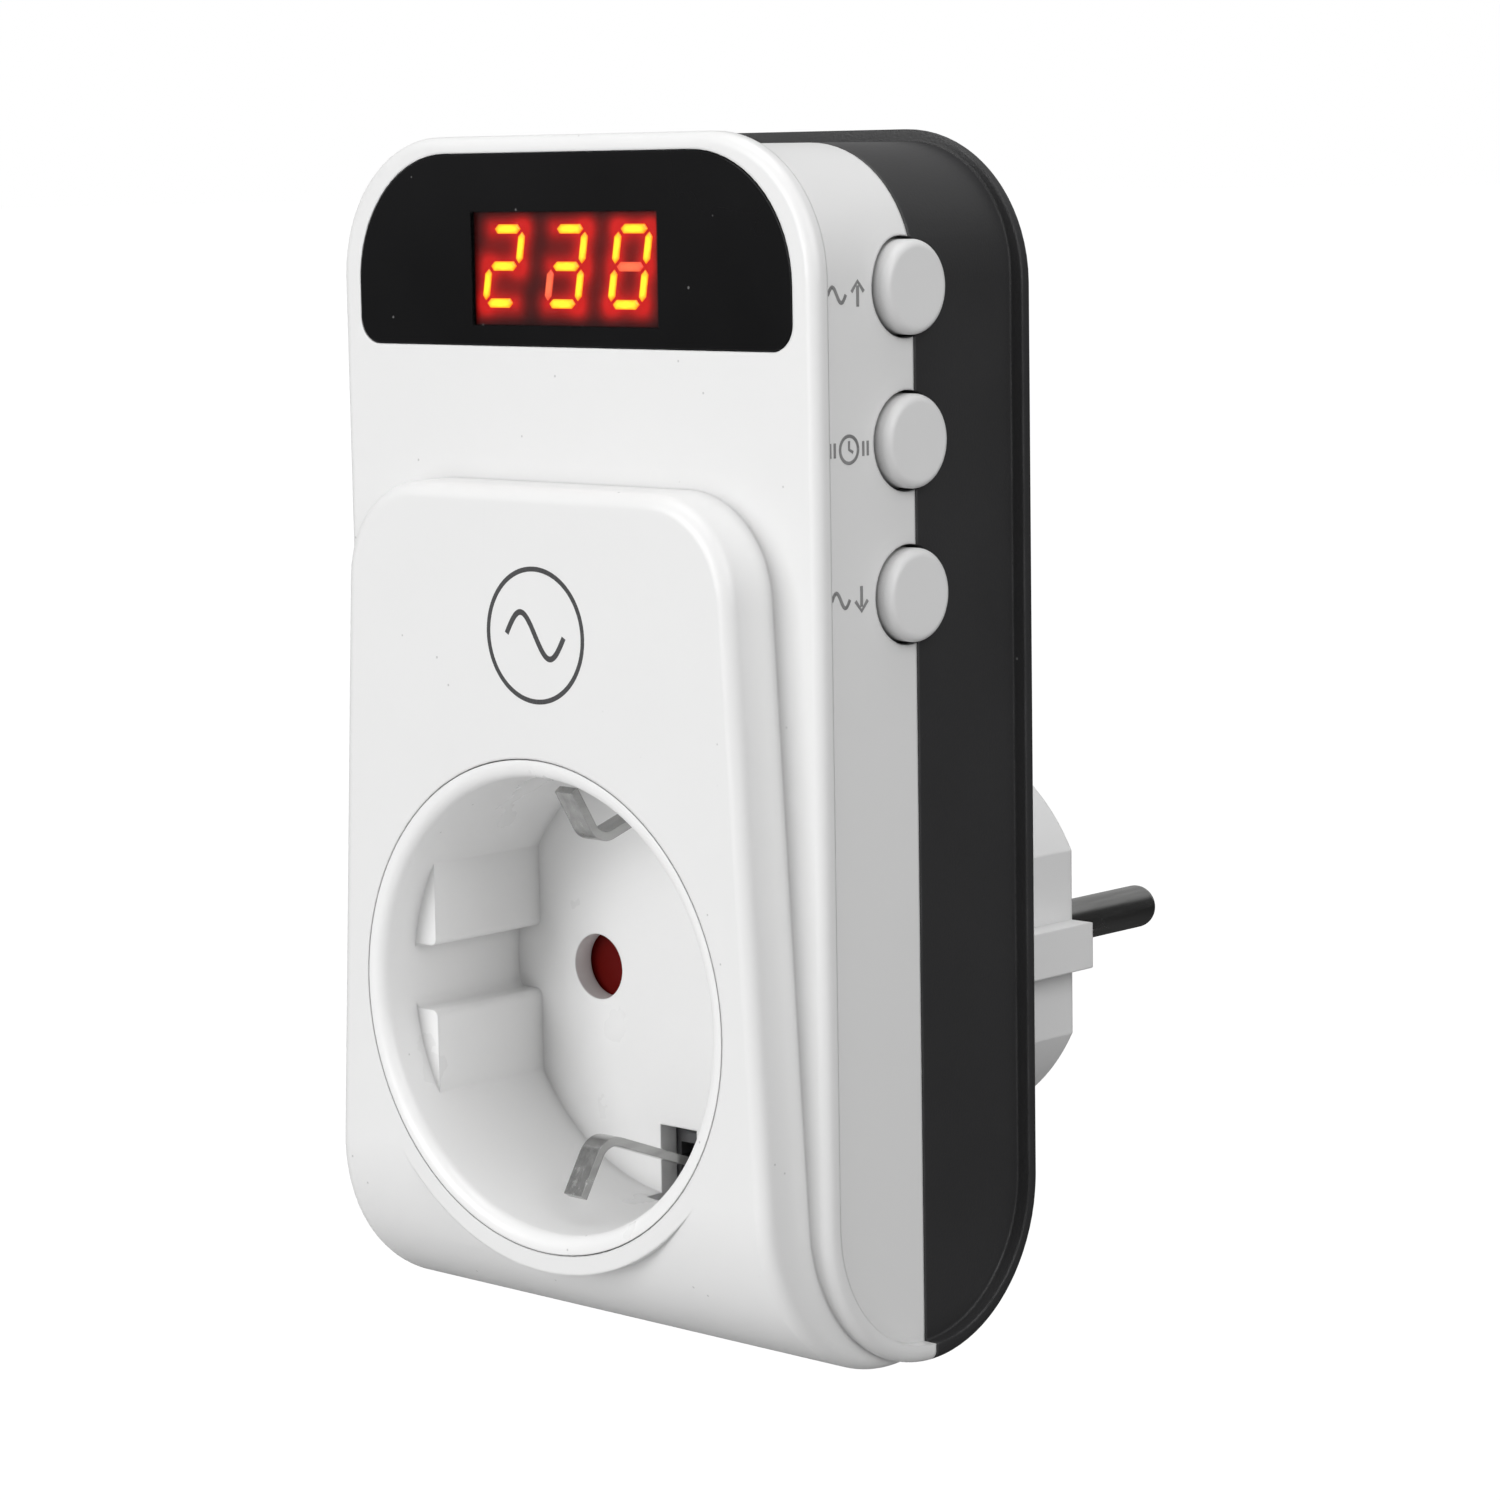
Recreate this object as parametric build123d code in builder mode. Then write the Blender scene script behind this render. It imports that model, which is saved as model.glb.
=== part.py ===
from build123d import *
import math
import os

os.makedirs("parts", exist_ok=True)

# Plug-through voltage monitor with a recessed socket. Millimetres, +Z up.
# The origin is the centre of the plug's contact face, midway between the pins. +Y points into
# the wall socket that the plug goes in, so the front of the housing faces -Y, and +X is right.

# ------------------------------------------------------------------ driving dimensions
body_width = 56.0
body_depth = 27.66
body_top = 73.5
plug_depth = 19.6  # back of the housing to the contact face
rear_depth = 14.2  # depth of the rear cover
platform_step = 5.24  # the socket platform stands this far out of the main face
wall = 2.0
rim = 1.55  # width of the raised rims at the front and back edges
waist_step = 1.3  # the side panels lie this far inside the rims
waist_top = 72.45
front_corner = 12.0
rear_corner = 13.0
waist_corner = 11.0
round_z = -16.1  # centre height of the fully rounded bottom
edge_radius = 1.0

platform_top = 44.3
platform_half_top = 22.4
platform_half_bottom = 27.0
platform_corner = 9.0
roll_radius = 15.5  # the platform rolls back under the socket
roll_z = -14.5
roll_sweep = 98.0

pin_spacing = 19.0
pin_radius = 2.0
pin_tip_y = 19.5
pin_foot_y = 0.3  # the pins neck down to their shanks here, just outside the contact face
shank_radius = 1.7
shank_end_y = -12.0

collar_radius = 23.0
collar_depth = 8.0
insert_radius = 21.25
insert_gap = 0.1
cup_radius = 19.7
cup_depth = 16.9
cup_base = 2.0
guide_half = 16.8  # half distance between the flat faces of the guide blocks
guide_start = 4.0
channel_half = 2.9
pin_hole_radius = 2.95

lens_half_width = 25.5
lens_bottom = 55.8
lens_top = 72.0
lens_thickness = 1.6
lens_skin = 0.45
led_middle_x = -0.5
led_half_width = 11.25
led_bottom = 57.4
led_top = 67.2

digit_height = 7.1
digit_width = 4.4
digit_pitch = 7.5
digit_middle_z = 62.5
digit_slant = 10.0
segment_stroke = 0.82
segment_gap = 0.22

button_heights = {"upper": 60.6, "middle": 48.0, "lower": 35.3}
button_radius = 3.9
button_hole_radius = 4.2
button_face_x = 28.05
button_behind_split = -0.9

back_y = -plug_depth
split_y = back_y - rear_depth
main_y = back_y - body_depth
face_y = main_y - platform_step
half_width = body_width / 2
round_radius = body_depth / 2
body_bottom = round_z - round_radius
roll_y = face_y + roll_radius
platform_root_y = roll_y + roll_radius * math.sin(math.radians(roll_sweep - 90))
inner_half = half_width - waist_step - 1.9
inner_top = waist_top - 1.95
inner_corner = 9.2
button_y = split_y + button_behind_split
half_pitch = pin_spacing / 2
beyond = 5.0  # how far cutting shapes run past what they cut

cup_floor_y = face_y + cup_depth
cup_back_y = cup_floor_y + cup_base
carrier_front_y = cup_back_y + 0.1
carrier_back_y = carrier_front_y + 7.0
board_front_y = -28.5
board_back_y = board_front_y + 1.6
board_half = 24.2
board_bottom = 24.5
board_top = 70.0
flange_front_y = back_y - wall - 1.8

window_x = (led_middle_x - led_half_width - 0.3, led_middle_x + led_half_width + 0.3)
window_z = (led_bottom - 0.3, led_top + 0.3)

case_screw_spots = [(-18.9, 66.4), (18.9, 66.4), (-20.5, -21.0), (20.5, -21.0)]
upper_screw_spots = case_screw_spots[:2]
lower_screw_spots = case_screw_spots[2:]
board_screw_spots = [(-21.4, 58.5), (21.2, 27.6)]
insert_screw_spots = [(12.0, 12.0), (-12.0, -12.0)]
case_screw_seat_y = back_y - 4.0


# ------------------------------------------------------------------ helpers
def facing(y):
    """Sketch plane at depth y that looks out of the front: local x is +X, local y is +Z."""
    return Plane.XZ.offset(-y)


def arch(half, bottom, top, corner):
    """Draw a face with straight sides and rounded top corners in the current sketch."""
    with BuildLine() as outline:
        FilletPolyline((-half, bottom), (-half, top), (half, top), (half, bottom), radius=corner)
        Line((half, bottom), (-half, bottom))
    make_face(outline.edges())


def round_bottom(front, back, top):
    """Draw the housing's side profile, with its fully rounded bottom, in the current sketch."""
    middle = (front + back) / 2
    radius = (back - front) / 2
    with BuildLine() as outline:
        Polyline((front, round_z), (front, top), (back, top), (back, round_z))
        ThreePointArc((back, round_z), (middle, round_z - radius), (front, round_z))
    make_face(outline.edges())


def housing_block(half, top, corner, inset):
    """A block of the housing's shape. inset moves its front, back and bottom inwards."""
    with BuildPart() as block:
        with BuildSketch(facing(back_y - inset)):
            arch(half, body_bottom - beyond, top, corner)
        extrude(amount=body_depth - 2 * inset)
        with BuildSketch(Plane.YZ):
            round_bottom(main_y + inset, back_y - inset, top + beyond)
        extrude(amount=half + beyond, both=True, mode=Mode.INTERSECT)
    return block.part


def outer_block(corner):
    """The housing's outside with its long rim edge rounded."""
    with BuildPart() as block:
        add(housing_block(half_width, body_top, corner, 0))
        rim_edges = block.edges().filter_by(Axis.Y, reverse=True)
        rim_edges = rim_edges.filter_by(lambda edge: abs(edge.center().Z - round_z) > 1)
        fillet(rim_edges, edge_radius)
    return block.part


def waist_cutter():
    """What is cut away between the two rims, over both sides and the top."""
    with BuildPart() as cutter:
        with BuildSketch(Plane.YZ):
            round_bottom(main_y + rim, back_y - rim, body_top + beyond)
        extrude(amount=half_width + beyond, both=True)
        with BuildSketch(facing(back_y)):
            arch(half_width - waist_step, body_bottom - 2 * beyond, waist_top, waist_corner)
        extrude(amount=body_depth, mode=Mode.SUBTRACT)
    return cutter.part


def platform_block(inset):
    """The raised socket platform, wider towards the bottom and rolled back under the socket."""
    low = body_bottom - beyond
    top = platform_top - inset
    with BuildPart() as block:
        with BuildSketch(facing(platform_root_y)):
            with BuildLine():
                FilletPolyline(
                    (-platform_half_bottom + inset, low),
                    (-platform_half_top + inset, top),
                    (platform_half_top - inset, top),
                    (platform_half_bottom - inset, low),
                    radius=platform_corner - inset,
                )
                Line((platform_half_bottom - inset, low), (-platform_half_bottom + inset, low))
            make_face()
        extrude(amount=platform_root_y - face_y - inset)
        with BuildSketch(Plane.YZ):
            with BuildLine():
                roll = CenterArc((roll_y, roll_z), roll_radius - inset, 180, roll_sweep)
                Polyline(
                    roll @ 1,
                    ((roll @ 1).X, platform_top + beyond),
                    (face_y + inset, platform_top + beyond),
                    roll @ 0,
                )
            make_face()
        extrude(amount=half_width + beyond, both=True, mode=Mode.INTERSECT)
    return block.part


def rounded_platform():
    """The platform with its front edge rounded all the way round and under."""
    with BuildPart() as block:
        add(platform_block(0))
        front_edges = block.edges().filter_by(Axis.Y, reverse=True)
        front_edges = front_edges.filter_by(lambda edge: edge.center().Y < platform_root_y - 1)
        front_edges = front_edges.filter_by(lambda edge: abs(edge.center().Z - roll_z) > 1)
        fillet(front_edges, 1.3)
    return block.part


def disc(radius, y_back, y_front, spots=((0, 0),), mode=Mode.ADD):
    """Add round bars along Y to the current part, from y_back forward to y_front."""
    with BuildSketch(facing(y_back)) as profile:
        with Locations(*spots):
            Circle(radius)
    extrude(profile.sketch, amount=y_back - y_front, mode=mode)


def cut_disc(radius, y_back, y_front, spots=((0, 0),)):
    """Cut round holes along Y in the current part, from y_back forward to y_front."""
    disc(radius, y_back, y_front, spots, Mode.SUBTRACT)


def slab(x_range, y_range, z_range, mode=Mode.ADD):
    """Add a box to the current part, given by its limits along X, Y and Z."""
    with BuildSketch(facing(y_range[1])) as profile:
        with Locations(((x_range[0] + x_range[1]) / 2, (z_range[0] + z_range[1]) / 2)):
            Rectangle(x_range[1] - x_range[0], z_range[1] - z_range[0])
    extrude(profile.sketch, amount=y_range[1] - y_range[0], mode=mode)


def cut_slab(x_range, y_range, z_range):
    """Cut a box out of the current part."""
    slab(x_range, y_range, z_range, Mode.SUBTRACT)


def lens_outline(y, gap):
    """The window outline at depth y: large top corners and small bottom corners."""
    height = lens_top - lens_bottom
    with BuildSketch(facing(y)) as outline:
        with Locations((0, (lens_top + lens_bottom) / 2)):
            Rectangle(2 * (lens_half_width + gap), height + 2 * gap)
        fillet(outline.vertices().group_by(Axis.Y)[0], 2.3)
        fillet(outline.vertices().group_by(Axis.Y)[-1], 11.0)
    return outline.sketch


def button_holes():
    """The three round holes for the buttons, seen from the right side."""
    with BuildSketch(Plane.YZ) as holes:
        with Locations(*[(button_y, height) for height in button_heights.values()]):
            Circle(button_hole_radius)
    return holes.sketch


def wedge(middle_angle, half_angle, reach):
    """A triangle from the socket's axis outwards, to cut a round profile down to one sector."""
    rays = [math.radians(middle_angle + turn) for turn in (-half_angle, half_angle)]
    corners = [(reach * math.cos(ray), reach * math.sin(ray)) for ray in rays]
    with BuildLine() as outline:
        Polyline((0, 0), *corners, close=True)
    return make_face(outline.edges(), mode=Mode.PRIVATE)


def button_relief():
    """Room for the button flanges where the housing's rounded corner comes close to them."""
    with BuildPart() as relief:
        with BuildSketch(Plane.YZ.offset(inner_half)):
            with Locations(*[(button_y, height) for height in button_heights.values()]):
                Circle(5.3)
        extrude(amount=-2.3)
    return relief.part


def plug_section(y, gap):
    """The plug block's outline: a disc with two flat sides, and a guide rib on each side."""
    with BuildSketch(facing(y)) as section:
        Circle(18.5 + gap)
        Rectangle(2 * (16.45 + gap), 50, mode=Mode.INTERSECT)
        Rectangle(2 * (18.85 + gap), 4.2 + 2 * gap)
    return section.sketch


def finish(builder, name):
    """Label a finished sub-part and write it."""
    builder.part.label = name
    export_step(builder.part, f"parts/{name}.step")


# ------------------------------------------------------------------ housing
with BuildPart() as front_cavity:
    add(housing_block(inner_half, inner_top, inner_corner, wall))
    add(platform_block(wall))
    add(button_relief())
    cut_disc(2.7, split_y + beyond, face_y, upper_screw_spots)
    cut_disc(3.0, split_y - 0.05, face_y, lower_screw_spots)
    cut_disc(2.2, split_y + beyond, face_y, board_screw_spots)
    cut_disc(collar_radius, face_y + collar_depth, face_y)
    cut_slab((-inner_half, inner_half), (main_y, main_y + 3.2), (54.0, body_top))

with BuildPart() as front_cover:
    add(outer_block(front_corner))
    add(waist_cutter(), mode=Mode.SUBTRACT)
    split(bisect_by=facing(split_y), keep=Keep.TOP)
    add(rounded_platform())
    disc(collar_radius, face_y + collar_depth, face_y)
    add(front_cavity.part, mode=Mode.SUBTRACT)
    disc(2.7, board_front_y - 0.05, split_y - wall, upper_screw_spots)
    disc(2.2, board_front_y - 0.05, split_y - wall, board_screw_spots)
    cut_disc(insert_radius + insert_gap, split_y, face_y - beyond)
    cut_disc(1.45, board_front_y, split_y - 7.0, upper_screw_spots)
    cut_disc(1.45, split_y, split_y - 7.0, lower_screw_spots)
    cut_disc(1.1, board_front_y, split_y - 3.0, board_screw_spots)
    extrude(lens_outline(main_y + lens_thickness + 0.05, 0.08), amount=beyond, mode=Mode.SUBTRACT)
    cut_slab(window_x, (main_y, main_y + beyond), window_z)
    extrude(button_holes(), amount=half_width + beyond, mode=Mode.SUBTRACT)
finish(front_cover, "front_cover")

with BuildPart() as rear_cavity:
    add(housing_block(inner_half, inner_top, inner_corner, wall))
    add(button_relief())
    cut_disc(4.2, back_y, board_back_y + 0.05, upper_screw_spots)
    cut_disc(4.2, back_y, split_y + 0.05, lower_screw_spots)

with BuildPart() as rear_cover:
    add(outer_block(rear_corner))
    add(waist_cutter(), mode=Mode.SUBTRACT)
    split(bisect_by=facing(split_y), keep=Keep.BOTTOM)
    chamfer(rear_cover.faces().sort_by(Axis.Y)[0].edges(), 0.25)
    add(rear_cavity.part, mode=Mode.SUBTRACT)
    extrude(plug_section(back_y + beyond, 0.1), amount=2 * beyond, mode=Mode.SUBTRACT)
    cut_disc(3.0, back_y + beyond, case_screw_seat_y, case_screw_spots)
    cut_disc(1.6, back_y, split_y, case_screw_spots)
    extrude(button_holes(), amount=half_width + beyond, mode=Mode.SUBTRACT)
finish(rear_cover, "rear_cover")


# ------------------------------------------------------------------ display
with BuildPart() as display_lens:
    extrude(lens_outline(main_y + lens_thickness, 0), amount=lens_thickness)
    cut_slab(window_x, (main_y + lens_skin, main_y + lens_thickness), window_z)
finish(display_lens, "display_lens")

led_face_y = main_y + lens_skin + 0.2
led_back_y = led_face_y + 6.4
segment_thickness = 0.15

with BuildPart() as led_module:
    led_x = (led_middle_x - led_half_width, led_middle_x + led_half_width)
    slab(led_x, (led_face_y, led_back_y), (led_bottom, led_top))
    chamfer(led_module.edges().filter_by(Axis.Z).group_by(Axis.Y)[0], 0.3)
    cut_slab((led_x[0] + 1, led_x[1] - 1), (led_back_y - 0.8, led_back_y),
             (led_bottom + 1.5, led_top - 1.5))
finish(led_module, "led_module")


def segment_bar(start, end):
    """Draw one pointed bar of a digit between two corners of its stick figure."""
    run = Vector(*end) - Vector(*start)
    along = run.normalized()
    across = Vector(-along.Y, along.X) * (segment_stroke / 2)
    tip = along * (segment_stroke / 2)
    first = Vector(*start) + along * segment_gap
    last = Vector(*end) - along * segment_gap
    corners = [
        first,
        first + tip + across,
        last - tip + across,
        last,
        last - tip - across,
        first + tip - across,
    ]
    slant = math.tan(math.radians(digit_slant))
    with BuildLine() as outline:
        Polyline([(point.X + slant * point.Y, point.Y) for point in corners], close=True)
    return make_face(outline.edges(), mode=Mode.PRIVATE)


def segment_ends(letter):
    """The two ends of a segment on the digit's stick figure, measured from its middle."""
    side = (digit_width - segment_stroke) / 2
    top = (digit_height - segment_stroke) / 2
    ends = {
        "a": ((-side, top), (side, top)),
        "b": ((side, 0), (side, top)),
        "c": ((side, -top), (side, 0)),
        "d": ((-side, -top), (side, -top)),
        "e": ((-side, -top), (-side, 0)),
        "f": ((-side, 0), (-side, top)),
        "g": ((-side, 0), (side, 0)),
    }
    return ends[letter]


def segments(letters_by_digit):
    """Thin bars on the display's face for the named segments of the three digits."""
    with BuildPart() as bars:
        for digit, letters in enumerate(letters_by_digit):
            middle = (led_middle_x + (digit - 1) * digit_pitch, digit_middle_z)
            for letter in letters:
                with BuildSketch(facing(led_face_y)) as profile:
                    with Locations(middle):
                        add(segment_bar(*segment_ends(letter)))
                extrude(profile.sketch, amount=segment_thickness)
    return bars


finish(segments(["abged", "abgcd", "abcdef"]), "led_segments_lit")
finish(segments(["", "e", "g"]), "led_segments_faint")

display_board_y = led_back_y + 1.5
with BuildPart() as display_board:
    slab((-15, 15), (led_back_y, display_board_y), (55.7, 69.6))
    chamfer(display_board.edges().filter_by(Axis.Y), 1.0)
finish(display_board, "display_board")

with BuildPart() as board_header:
    slab((-8, 8), (display_board_y, display_board_y + 2.5), (56.6, 59.1))
    slab((-8, 8), (board_front_y - 2.5, board_front_y), (56.6, 59.1))
    for column in range(6):
        pin_x = (column - 2.5) * 2.54
        slab((pin_x - 0.32, pin_x + 0.32), (display_board_y, board_front_y), (57.53, 58.17))
finish(board_header, "board_header")


# ------------------------------------------------------------------ buttons and switches
cap_flange_x = inner_half - 0.15
stem_end_x = 21.0
switch_front_x = 19.5
switch_back_x = 16.0
plunger_radius = 1.65


def turned_along_x(profile_points, y, z, rounded=None):
    """A round piece on an axis along X, from its half section given as (x, radius) points."""
    with BuildPart() as piece:
        with BuildSketch(Plane.XY):
            with BuildLine():
                Polyline(profile_points, close=True)
            make_face()
        revolve(axis=Axis.X)
        if rounded:
            fillet(piece.edges().filter_by(GeomType.CIRCLE).sort_by(Axis.X)[-1], rounded)
    return Pos(0, y, z) * piece.part


for name, height in button_heights.items():
    with BuildPart() as button:
        cap_section = [
            (stem_end_x, 0),
            (stem_end_x, 1.5),
            (cap_flange_x - 0.8, 1.5),
            (cap_flange_x - 0.8, 4.9),
            (cap_flange_x, 4.9),
            (cap_flange_x, button_radius),
            (button_face_x, button_radius),
            (button_face_x, 0),
        ]
        add(turned_along_x(cap_section, button_y, height, rounded=0.7))
    finish(button, f"button_{name}")

    with BuildPart() as plunger:
        plunger_section = [
            (switch_back_x + 1.7, 0),
            (switch_back_x + 1.7, plunger_radius),
            (stem_end_x, plunger_radius),
            (stem_end_x, 0),
        ]
        add(turned_along_x(plunger_section, button_y, height))
    finish(plunger, f"switch_plunger_{name}")

    with BuildPart() as switch:
        slab((switch_back_x, switch_front_x), (button_y - 3, button_y + 3), (height - 3, height + 3))
        slab((switch_back_x, switch_back_x + 2.6), (button_y + 3, board_front_y),
             (height - 2.2, height + 2.2))
        with BuildSketch(Plane.YZ.offset(switch_back_x + 1.1)):
            with Locations((button_y, height)):
                Circle(plunger_radius + 0.08)
        extrude(amount=switch_front_x - switch_back_x, mode=Mode.SUBTRACT)
    finish(switch, f"switch_body_{name}")


# ------------------------------------------------------------------ socket
flange_y = (face_y + collar_depth + 0.05, face_y + collar_depth + 1.6)
boss_end_y = cup_back_y + 3.0

with BuildPart() as cup_hollow:
    disc(cup_radius, cup_floor_y, face_y - beyond)
    for side in (-1, 1):
        guide_x = sorted((side * guide_half, side * (guide_half + beyond)))
        guide_y = (face_y + guide_start, cup_floor_y)
        cut_slab(guide_x, guide_y, (channel_half, cup_radius))
        cut_slab(guide_x, guide_y, (-cup_radius, -channel_half))
    guide_edges = cup_hollow.edges().filter_by(Axis.Y).filter_by(
        lambda edge: abs(abs(edge.center().Z) - channel_half) < 0.1
    )
    fillet(guide_edges, 0.7)

with BuildPart() as socket_insert:
    disc(insert_radius, cup_back_y, face_y)
    disc(collar_radius - 0.2, flange_y[1], flange_y[0])
    disc(2.6, boss_end_y, cup_back_y, insert_screw_spots)
    add(cup_hollow.part, mode=Mode.SUBTRACT)
    mouth = socket_insert.edges().filter_by(GeomType.CIRCLE).filter_by(
        lambda edge: abs(edge.center().Y - face_y) < 0.01
    )
    fillet(mouth.sort_by(SortBy.RADIUS)[0], 1.15)
    cut_disc(pin_hole_radius, cup_back_y + 1, cup_floor_y - 1, [(-half_pitch, 0), (half_pitch, 0)])
    cut_disc(1.1, boss_end_y + 1, cup_floor_y + 0.5, insert_screw_spots)
    for side in (-1, 1):
        cut_slab((-2.2, 2.2), (cup_floor_y - 1.9, cup_back_y + 1), sorted((side * 13.35, side * 20.2)))
finish(socket_insert, "socket_insert")

pocket_radius = 14.2
pocket_floor_y = carrier_front_y + 2.2
spring_floor_y = pocket_floor_y + 1.5
post_radius = 1.9
blade_half_angle = 22.0
stop_angles = (111.0, 291.0)  # middles of the two blocks that the shutter blades stop against

with BuildPart() as contact_carrier:
    disc(20.0, carrier_back_y, carrier_front_y)
    cut_disc(pocket_radius, pocket_floor_y, carrier_front_y - 1)
    disc(post_radius, pocket_floor_y + 1, carrier_front_y + 0.2)
    for middle_angle in stop_angles:
        with BuildSketch(facing(carrier_back_y)) as stop:
            Circle(pocket_radius + 1)
            Circle(4.9, mode=Mode.SUBTRACT)
            add(wedge(middle_angle, 42.5, 2 * pocket_radius), mode=Mode.INTERSECT)
        extrude(stop.sketch, amount=carrier_back_y - carrier_front_y - 0.1)
    cut_disc(3.3, carrier_back_y + 1, carrier_front_y - 1, [(-half_pitch, 0), (half_pitch, 0)])
    cut_disc(2.75, boss_end_y + 0.1, carrier_front_y - 1, insert_screw_spots)
    cut_disc(1.3, carrier_back_y + 1, carrier_front_y, insert_screw_spots)
    cut_disc(2.4, carrier_back_y + 1, carrier_back_y - 2.0, insert_screw_spots)
    for side in (-1, 1):
        cut_slab((-1.7, 1.7), (carrier_front_y - 1, carrier_back_y + 1),
                 sorted((side * 15.2, side * 20.5)))
    cut_slab((3.4, 7.2), (pocket_floor_y - 0.1, spring_floor_y), (3.9, 7.1))
finish(contact_carrier, "contact_carrier")

shutter_front_y = carrier_front_y + 0.15
shutter_back_y = shutter_front_y + 1.7
with BuildPart() as shutter:
    with BuildSketch(facing(shutter_back_y)) as blades:
        add(wedge(0, blade_half_angle, 20))
        add(wedge(180, blade_half_angle, 20))
        Circle(13.6, mode=Mode.INTERSECT)
    with BuildSketch(facing(shutter_back_y)) as hub:
        Circle(4.4)
    extrude(blades.sketch, amount=shutter_back_y - shutter_front_y)
    extrude(hub.sketch, amount=shutter_back_y - shutter_front_y)
    cut_disc(post_radius + 0.05, shutter_back_y + 1, shutter_front_y - 1)
finish(shutter, "shutter")

with BuildPart() as shutter_spring:
    with BuildSketch(facing(spring_floor_y - 0.1)) as strip:
        with BuildLine() as bends:
            FilletPolyline((3.7, 4.3), (4.7, 6.7), (5.9, 4.3), (6.9, 6.7), radius=0.4)
        trace(bends.edges(), line_width=0.3)
    extrude(strip.sketch, amount=1.1)
finish(shutter_spring, "shutter_spring")

contact_front_y = carrier_front_y + 2.6
contact_back_y = contact_front_y + 9.3
for name, side in (("left", -1), ("right", 1)):
    with BuildPart() as contact:
        disc(2.9, contact_back_y, contact_front_y, [(side * half_pitch, 0)])
        cut_disc(2.4, contact_back_y + 1, contact_front_y - 1, [(side * half_pitch, 0)])
        cut_slab((side * half_pitch - 3.2, side * half_pitch + 3.2),
                 (contact_front_y - 1, contact_back_y - 2.0), (-0.4, 0.4))
        cut_slab((side * half_pitch - 0.4, side * half_pitch + 0.4),
                 (contact_front_y - 1, contact_back_y - 2.0), (-3.2, 3.2))
    finish(contact, f"socket_contact_{name}")

strip_thickness = 0.8
clip_half = 1.05
cross_y = (carrier_back_y + 0.05, carrier_back_y + 0.05 + strip_thickness)


def clip_line(side, lift):
    """Centre line of one earth clip, from the cross piece out through the cup floor."""
    with BuildLine() as line:
        FilletPolyline(
            (cross_y[1] - strip_thickness / 2, side * 14.0),
            (cross_y[1] - strip_thickness / 2, side * (16.9 + 0.3 * lift)),
            (face_y + 17.6, side * (16.5 + 0.3 * lift)),
            (face_y + 6.87, side * (12.34 + lift)),
            (face_y + 3.9, side * (17.1 + lift)),
            radius=[1.2, 2.0, 2.1],
        )
    return line.edges()


with BuildPart() as earth_bracket:
    with BuildSketch(Plane.YZ) as clips:
        trace(clip_line(1, 1.2), line_width=strip_thickness)
        trace(clip_line(-1, 0), line_width=strip_thickness)
    extrude(clips.sketch, amount=clip_half, both=True)
    slab((-2.6, 2.6), cross_y, (-14.6, 14.6))
finish(earth_bracket, "earth_bracket")


# ------------------------------------------------------------------ plug
plug_hollow_radius = 14.4
plug_front_y = -8.0
earth_slot_half = 2.6
earth_floor = 16.2

with BuildPart() as plug_flange:
    disc(21.0, back_y - wall, flange_front_y)
    add(housing_block(inner_half, inner_top, inner_corner, wall + 0.05), mode=Mode.INTERSECT)

with BuildPart() as plug_body:
    extrude(plug_section(0, 0), amount=plug_depth + wall + 0.05)
    fillet(plug_body.edges().group_by(Axis.Y)[-1], 0.7)
    add(plug_flange.part)
    disc(1.8, flange_front_y, carrier_back_y + 0.05, [(-12.0, 12.0), (12.0, -12.0)])
    cut_disc(plug_hollow_radius, plug_front_y, flange_front_y - beyond)
    cut_disc(shank_radius + 0.02, beyond, plug_front_y - beyond, [(-half_pitch, 0), (half_pitch, 0)])
    cut_disc(pin_radius + 0.02, beyond, -0.8, [(-half_pitch, 0), (half_pitch, 0)])
    for side in (-1, 1):
        cut_slab((-earth_slot_half, earth_slot_half), (back_y + 0.4, beyond),
                 sorted((side * earth_floor, side * 20.0)))
        cut_slab((-2.05, 2.05), (back_y + 1.3, back_y + 2.2), sorted((side * 12.0, side * 17.0)))
finish(plug_body, "plug_body")

for name, side in (("left", -1), ("right", 1)):
    with BuildPart() as plug_pin:
        disc(pin_radius, pin_tip_y, pin_foot_y, [(side * half_pitch, 0)])
        fillet(plug_pin.edges().filter_by(GeomType.CIRCLE).sort_by(Axis.Y)[-1], 1.5)
        disc(shank_radius, pin_foot_y, shank_end_y, [(side * half_pitch, 0)])
        disc(2.7, plug_front_y - 0.05, plug_front_y - 1.0, [(side * half_pitch, 0)])
    finish(plug_pin, f"plug_pin_{name}")

with BuildPart() as plug_earth_contacts:
    for side in (-1, 1):
        slab((-2.0, 2.0), (back_y + 1.35, -1.4), sorted((side * (earth_floor + 0.1), side * 17.1)))
        slab((-2.0, 2.0), (back_y + 1.35, back_y + 2.15), sorted((side * 11.9, side * 16.4)))
finish(plug_earth_contacts, "plug_earth_contacts")

with BuildPart() as earth_strap:
    strap_z = 11.4
    with BuildSketch(Plane.YZ) as profile:
        with BuildLine() as line:
            FilletPolyline(
                (back_y + 2.15, strap_z),
                (cross_y[1] + 0.4, strap_z),
                (cross_y[1] + 0.4, -strap_z),
                (back_y + 2.15, -strap_z),
                radius=1.2,
            )
        trace(line.edges(), line_width=0.8)
    extrude(profile.sketch, amount=1.5, both=True)
finish(earth_strap, "earth_strap")

with BuildPart() as neutral_busbar:
    slab((-half_pitch - 2, -half_pitch + 2), (carrier_back_y + 0.2, -9.6), (-3.75, -2.95))
    slab((-half_pitch - 1, -half_pitch + 1), (-11.6, -9.6), (-2.95, -shank_radius - 0.05))
finish(neutral_busbar, "neutral_busbar")

wire_y = carrier_back_y + 1.45
wire_radius = 1.0


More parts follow.
